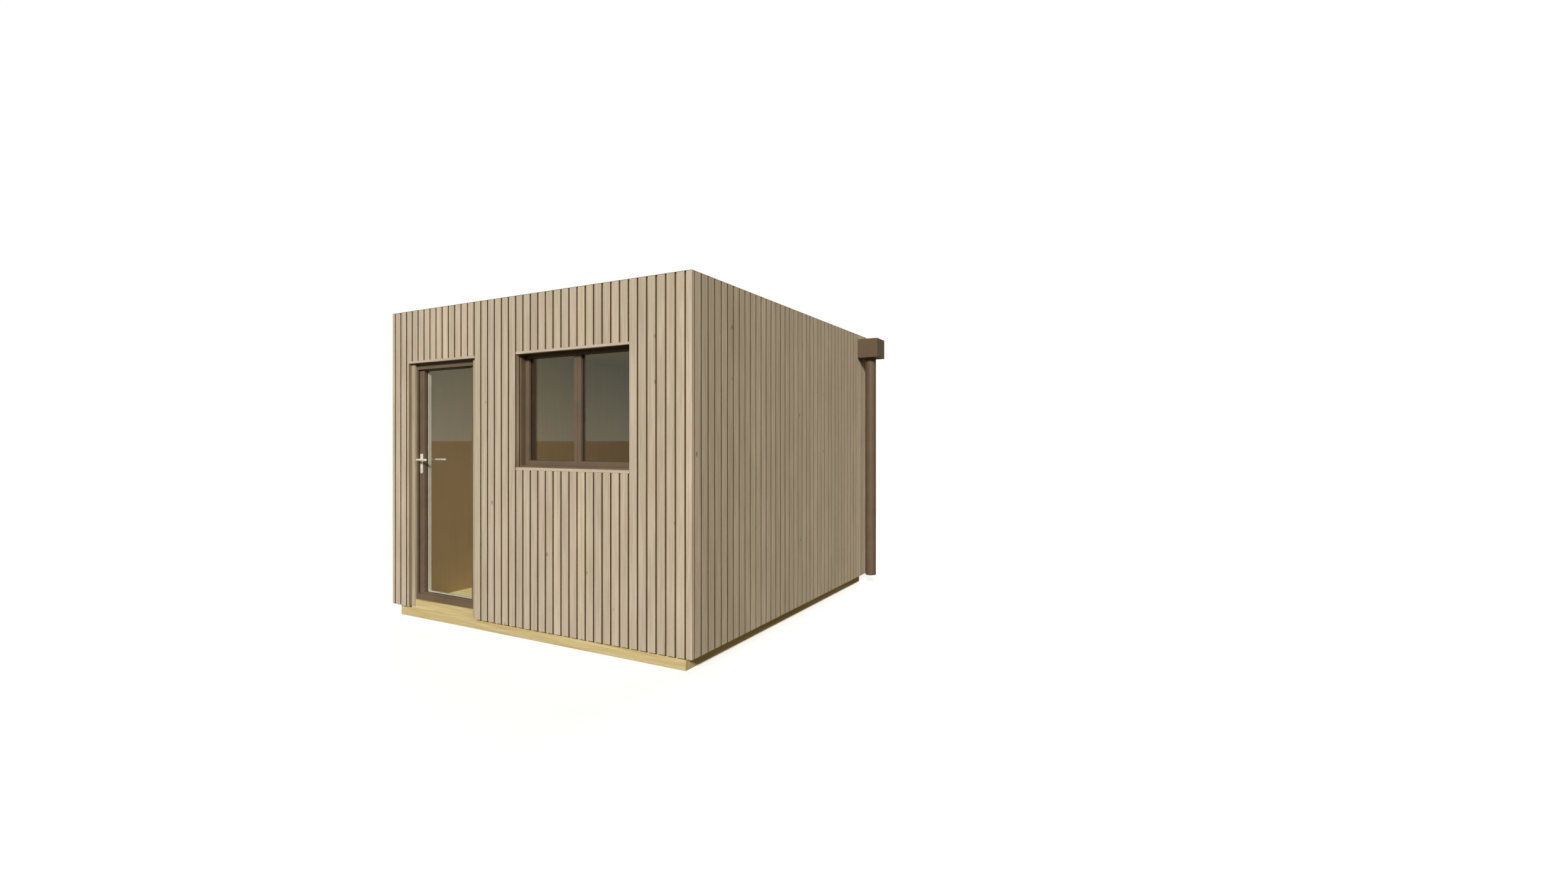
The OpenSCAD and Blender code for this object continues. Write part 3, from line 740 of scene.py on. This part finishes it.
def door_leaf():
    """Stiles and rails of the leaf, its glazing beads and the seal of its pane."""
    low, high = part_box("door_leaf")
    pane_low, pane_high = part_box("door_glass")
    bead_low, bead_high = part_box("door_beads")
    hold = DOOR_GLASS_HOLD
    opening_low = (pane_low.x + hold, pane_low.z + hold)
    opening_high = (pane_high.x - hold, pane_high.z - hold)
    bars = [opening_low[0] - low.x, high.x - opening_high[0],
            opening_low[1] - low.z, high.z - opening_high[1]]

    def leaf_section(width):
        return rounded([(0, low.y, METAL_ROUND), (width, low.y, METAL_ROUND), (width, high.y, EDGE_ROUND),
                        (hold, high.y, 0), (hold, pane_low.y, 0), (0, pane_low.y, 0)])

    def bead_section(width):
        return rounded([(0, bead_low.y, 0), (width, bead_low.y, 0), (width, bead_high.y, 0),
                        (0, bead_high.y, METAL_ROUND * 2)])

    mesh = bmesh.new()
    mitred_bars(mesh, (low.x, low.z), (high.x, high.z), bars, leaf_section)
    piece("door_leaf_bars", mesh, "brown_frame", "door", ["door_leaf"])

    mesh = bmesh.new()
    bead_corners = (bead_low.x, bead_low.z), (bead_high.x, bead_high.z)
    mitred_bars(mesh, *bead_corners, [hold + BEAD_LIP] * 4, bead_section)
    piece("door_glazing_beads", mesh, "pale_bead", "door", ["door_beads"])

    mesh = bmesh.new()
    gasket_ring(mesh, opening_low, opening_high, pane_low.y - GASKET_DEPTH, pane_low.y)
    piece("door_pane_seal", mesh, "gasket", "door")


def window_bars():
    """Outer frame of the window, the strips of its reveal in painted shade, and a black strip of painted
    shadow in the gap between them and the frame.
    """
    low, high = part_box("window_frame")
    mesh = bmesh.new()
    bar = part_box("window_sashes")[0].x - low.x
    mitred_bars(mesh, (low.x, low.z), (high.x, high.z), [bar] * 4, box_section(low.y, high.y))
    piece("window_frame_bars", mesh, "brown_frame", "building", ["window_frame"])

    corners = (low.x, low.z), (high.x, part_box("head_trims")[0].z)
    front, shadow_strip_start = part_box("front_cladding_piers")[1].y, low.y - REVEAL_SHADOW_STRIP
    mesh = bmesh.new()
    mitred_bars(mesh, *corners, [REVEAL_THICK] * 4, box_section(front, shadow_strip_start, 0))
    piece("window_reveal_strips", mesh, "cladding_reveal", "building")
    # A black strip of painted shadow in the gap, in the gasket rubber
    mesh = bmesh.new()
    mitred_bars(mesh, *corners, [REVEAL_THICK / 2] * 4, box_section(shadow_strip_start, low.y, 0))
    piece("window_reveal_shadow_strip", mesh, "gasket", "building")


def window_sashes():
    """The two sashes of the window and the seals of their panes."""
    low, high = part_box("window_sashes")
    pane_low, pane_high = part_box("window_glass")
    hold = SASH_GLASS_HOLD
    stile = pane_low.x + hold - low.x
    middle = (low.x + high.x) / 2
    sides = [(low.x, middle - SASH_GAP / 2, stile, SASH_MEETING_BAR),
             (middle + SASH_GAP / 2, high.x, SASH_MEETING_BAR, stile)]

    def section(width):
        return rounded([(0, low.y, EDGE_ROUND), (width, low.y, EDGE_ROUND),
                        (width, high.y, EDGE_ROUND), (0, high.y, EDGE_ROUND),
                        (0, pane_high.y, 0), (hold, pane_high.y, 0),
                        (hold, pane_low.y, 0), (0, pane_low.y, 0)])

    mesh = bmesh.new()
    seals = bmesh.new()
    for left, right, left_bar, right_bar in sides:
        bars = [left_bar, right_bar, stile, stile]
        mitred_bars(mesh, (left, low.z), (right, high.z), bars, section)
        opening = (left + left_bar, low.z + stile), (right - right_bar, high.z - stile)
        gasket_ring(seals, *opening, pane_low.y - GASKET_DEPTH, pane_low.y)
        gasket_ring(seals, *opening, pane_high.y, pane_high.y + GASKET_DEPTH)
    piece("window_sash_bars", mesh, "brown_frame", "building", ["window_sashes"])
    piece("window_pane_seals", seals, "gasket", "building")


# Handles

def tube(mesh, path, radii):
    """A round bar along a path, with a radius at each of its points."""
    turns = [2 * math.pi * k / TUBE_SIDES for k in range(TUBE_SIDES)]
    loops = []
    across = None
    for i, (point, radius) in enumerate(zip(path, radii)):
        heading = (path[min(i + 1, len(path) - 1)] - path[max(i - 1, 0)]).normalized()
        across = heading.orthogonal() if across is None else across - heading * across.dot(heading)
        across.normalize()
        up = heading.cross(across)
        ring = [point + radius * (across * math.cos(t) + up * math.sin(t)) for t in turns]
        loops.append([mesh.verts.new(place) for place in ring])
    skin(mesh, loops)


def button(mesh, centre, outwards, size):
    """A low round button on a face; size is its radius and rise."""
    radius, rise = size
    path = [centre + outwards * rise * share for share in BUTTON_RISE_SHARES]
    tube(mesh, path, [radius * share for share in BUTTON_WIDTH_SHARES])


def back_plate(mesh, centre, outwards, width, height, thick):
    """An upright plate with round corners and an eased front edge."""
    def loop(inset, rise):
        half, tall = width / 2 - inset, height / 2 - inset
        corners = ((-half, -tall), (half, -tall), (half, tall), (-half, tall))
        outline = rounded([(a, b, PLATE_ROUND - inset) for a, b in corners])
        return [mesh.verts.new(centre + Vector((a, 0, b)) + outwards * rise) for a, b in outline]

    skin(mesh, [loop(0, 0), loop(0, thick - PLATE_EASE), loop(PLATE_EASE, thick)])


def lever(mesh, root, outwards, along, reach, length, radius):
    """A lever: a neck out of its plate, a bend and a straight grip with a round end."""
    path = [root, root + outwards * (reach - LEVER_BEND)]
    for step in range(1, LEVER_BEND_STEPS + 1):
        turn = math.pi / 2 * step / LEVER_BEND_STEPS
        path.append(root + outwards * (reach - LEVER_BEND * (1 - math.sin(turn)))
                    + along * LEVER_BEND * (1 - math.cos(turn)))
    radii = [radius * LEVER_NECK_SHARE] * len(path)
    tip = root + outwards * reach + along * length
    path += [root + outwards * reach + along * (length * LEVER_GRIP_SHARE), tip - along * radius]
    radii += [radius, radius]
    for step in range(1, LEVER_END_STEPS):
        turn = math.pi / 2 * step / LEVER_END_STEPS
        path.append(tip - along * radius * (1 - math.sin(turn)))
        radii.append(radius * math.cos(turn))
    tube(mesh, path, radii)


def door_handles():
    """Lever handles on both faces of the leaf, each with its plate, neck ring, lock cylinder and screws."""
    low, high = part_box("door_handles")
    leaf_low, leaf_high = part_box("door_leaf")
    width, height, thick = HANDLE_PLATE
    centre_x = low.x + width / 2
    mesh = bmesh.new()
    for face, tip, side in ((leaf_low.y, low.y, -1), (leaf_high.y, high.y, 1)):
        outwards = Vector((0, side, 0))

        def on_plate(z):
            return Vector((centre_x, face, z)) + outwards * thick

        back_plate(mesh, Vector((centre_x, face, high.z - height / 2)), outwards, width, height, thick)
        root = on_plate(high.z - LEVER_DROP)
        button(mesh, root, outwards, NECK_RING)
        reach = abs(tip - face) - HANDLE_RADIUS - thick
        lever(mesh, root, outwards, Vector((1, 0, 0)), reach, high.x - centre_x, HANDLE_RADIUS)
        button(mesh, on_plate(low.z + LOCK_HEIGHT), outwards, LOCK_BUTTON)
        for z in (low.z + SCREW_INSET, high.z - SCREW_INSET):
            button(mesh, on_plate(z), outwards, SCREW_BUTTON)
    piece("door_lever_handles", mesh, "handle_metal", "door", ["door_handles"], smooth=True)


def window_handle():
    """Handle on the inside of the right sash: a plate and a lever that hangs down."""
    low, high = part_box("window_handle")
    width, height, thick = WINDOW_PLATE
    outwards = Vector((0, 1, 0))
    middle = Vector(((low.x + high.x) / 2, low.y, high.z - height / 2))
    root = middle + outwards * thick
    reach = high.y - low.y - thick - WINDOW_LEVER_RADIUS
    mesh = bmesh.new()
    back_plate(mesh, middle, outwards, width, height, thick)
    lever(mesh, root, outwards, Vector((0, 0, -1)), reach, middle.z - low.z, WINDOW_LEVER_RADIUS)
    for side in (-1, 1):
        screw = Vector((middle.x, low.y, middle.z + side * height * WINDOW_SCREW_SHARE)) + outwards * thick
        button(mesh, screw, outwards, WINDOW_SCREW_BUTTON)
    piece("window_lever_handle", mesh, "handle_metal", "building", ["window_handle"],
          smooth=True)


# Finishes of the solids that stay

def eased(node, width):
    """Rounds the sharp edges of a solid."""
    shape = nodes[node]
    weld = shape.modifiers.new("weld", "WELD")
    weld.merge_threshold = WELD_DISTANCE
    bevel = shape.modifiers.new("ease", "BEVEL")
    bevel.width = width
    bevel.segments = EASE_SEGMENTS
    bevel.limit_method = "ANGLE"
    bevel.angle_limit = EASE_ANGLE
    for face in shape.data.polygons:
        face.use_smooth = False


def finish_solids():
    """Gives each solid the finish of its slot, or the one with its own grain direction or tone."""
    own = {
        "rim_joists_sides": "base_timber_y",
        "floor_joists": "base_timber_y",
        "door_side_trims": "cladding_trim_upright",
        "ceiling": "ceiling_panel",
    }
    slots = {s["node"]: s["material_slot"] for s in frame["record"]["subparts"]}
    for name, shape in nodes.items():
        shape.data.materials.clear()
        shape.data.materials.append(MATERIALS[own.get(name, slots[name])])
    for name in EASED_SOLIDS:
        eased(name, EDGE_ROUND)
    for name in EASED_METAL_TRIMS:
        eased(name, EDGE_ROUND / 2)


# Stage

def sky():
    """A dim sky for light, a brighter one for mirror images; the backdrop itself is white."""
    world = bpy.data.worlds.new("sky")
    bpy.context.scene.world = world
    tree = cleared(world)
    path = add(tree, "LightPath").outputs
    up = add(tree, "SeparateXYZ", {0: add(tree, "TexCoord").outputs["Generated"]}).outputs["Z"]
    mirror = mixed(tree, ranged(tree, up, 0.0, SKY_MID_RISE, 0.0, 1.0), SKY_MIRROR_LOW, SKY_MIRROR_MID)
    mirror = mixed(tree, ranged(tree, up, SKY_MID_RISE, SKY_HIGH_RISE, 0.0, 1.0), mirror, SKY_MIRROR_HIGH)
    colour = mixed(tree, path["Is Glossy Ray"], SKY_LIGHT, mirror)
    shade = add(tree, "Background", {"Color": mixed(tree, path["Is Camera Ray"], colour, WHITE)})
    add(tree, "OutputWorld", {"Surface": shade.outputs[0]})


def far_light(name, azimuth, height, strength, size, colour):
    """A light from far off, as wide as the angle given."""
    light = bpy.data.lights.new(name, "SUN")
    light.energy = strength
    light.angle = size
    light.color = colour
    made = placed(name, light)
    made.rotation_euler = (math.pi / 2 - height, 0, azimuth)
    return made


def room_lamp():
    """The dim lamp in the room, unseen itself, which shines towards the left wall."""
    light = bpy.data.lights.new("room_lamp", "AREA")
    light.energy = ROOM_LAMP_POWER
    light.size = ROOM_LAMP_SIZE
    made = placed("room_lamp", light)
    made.rotation_euler = (0, math.pi / 2, 0)
    made.location = ROOM_LAMP_PLACE
    made.visible_camera = False
    made.visible_glossy = False
    return made


def keep_off(light, walls, pieces):
    """Keeps a light off some of the solids and some of the pieces made here."""
    unlit = bpy.data.collections.new(light.name + "_pieces")
    for shape in [nodes[name] for name in walls] + [bpy.data.objects[name] for name in pieces]:
        unlit.objects.link(shape)
    light.light_linking.receiver_collection = unlit
    for item in unlit.collection_objects:
        item.light_linking.link_state = "EXCLUDE"


def lights():
    """The sun, the soft fills from the right and from behind, and the dim lamp in the room."""
    sun = far_light("sun", SUN_AZIMUTH, SUN_HEIGHT, SUN_STRENGTH, SUN_SIZE, SUN_COLOUR)
    far_light("side_fill", SIDE_AZIMUTH, SIDE_HEIGHT, SIDE_STRENGTH, SIDE_SIZE, SIDE_COLOUR)
    far_light("fill", FILL_AZIMUTH, FILL_HEIGHT, FILL_STRENGTH, FILL_SIZE, FILL_COLOUR)
    keep_off(sun, INNER_WALLS, ["window_lever_handle"])
    keep_off(room_lamp(), FRONT_WALLS, WINDOW_PIECES)


def floor():
    """Plain pale floor that fades into the backdrop, and throws back little light."""
    mesh = bmesh.new()
    bmesh.ops.create_circle(mesh, cap_ends=True, segments=FLOOR_SIDES, radius=FLOOR_RADIUS)
    data = bpy.data.meshes.new("floor")
    mesh.to_mesh(data)
    mesh.free()
    made = placed("floor", data)
    material = bpy.data.materials.new("floor_pale")
    tree = cleared(material)
    place = add(tree, "TexCoord").outputs["Object"]
    distance = add(tree, "VectorMath", {0: place}, operation="LENGTH").outputs["Value"]
    far = ranged(tree, distance, FLOOR_FADE_START, FLOOR_FADE_END, 0.0, 1.0, smooth=True)
    near = add(tree, "BsdfDiffuse", {"Color": (*FLOOR_COLOUR, 1)})
    glow = add(tree, "Emission", {"Color": (*WHITE, 1), "Strength": FLOOR_GLOW})
    lit = add(tree, "AddShader", {0: near.outputs[0], 1: glow.outputs[0]})
    white = add(tree, "Emission", {"Color": (*WHITE, 1), "Strength": 1.0})
    seen = add(tree, "MixShader", {0: far, 1: lit.outputs[0], 2: white.outputs[0]})
    path = add(tree, "LightPath").outputs
    unseen_colour = mixed(tree, path["Is Glossy Ray"], GROUND_LIGHT, GROUND_MIRROR)
    unseen = add(tree, "BsdfDiffuse", {"Color": unseen_colour})
    both = add(tree, "MixShader", {0: path["Is Camera Ray"], 1: unseen.outputs[0], 2: seen.outputs[0]})
    add(tree, "OutputMaterial", {"Surface": both.outputs[0]})
    data.materials.append(material)


def camera():
    """The photo's camera."""
    lens = bpy.data.cameras.new("camera")
    lens.lens = CAMERA_LENS_MM
    lens.sensor_width = CAMERA_SENSOR_MM
    made = placed("camera", lens)
    made.location = CAMERA_PLACE
    made.rotation_euler = (math.pi / 2, 0, CAMERA_AZIMUTH)
    bpy.context.scene.camera = made


finish_solids()
front_cladding()
back_cladding()
left_cladding()
right_cladding()
floor_planks()
door_leaf()
door_handles()
window_bars()
window_sashes()
window_handle()
sky()
lights()
floor()
camera()
bpy.context.scene.view_settings.view_transform = "Standard"
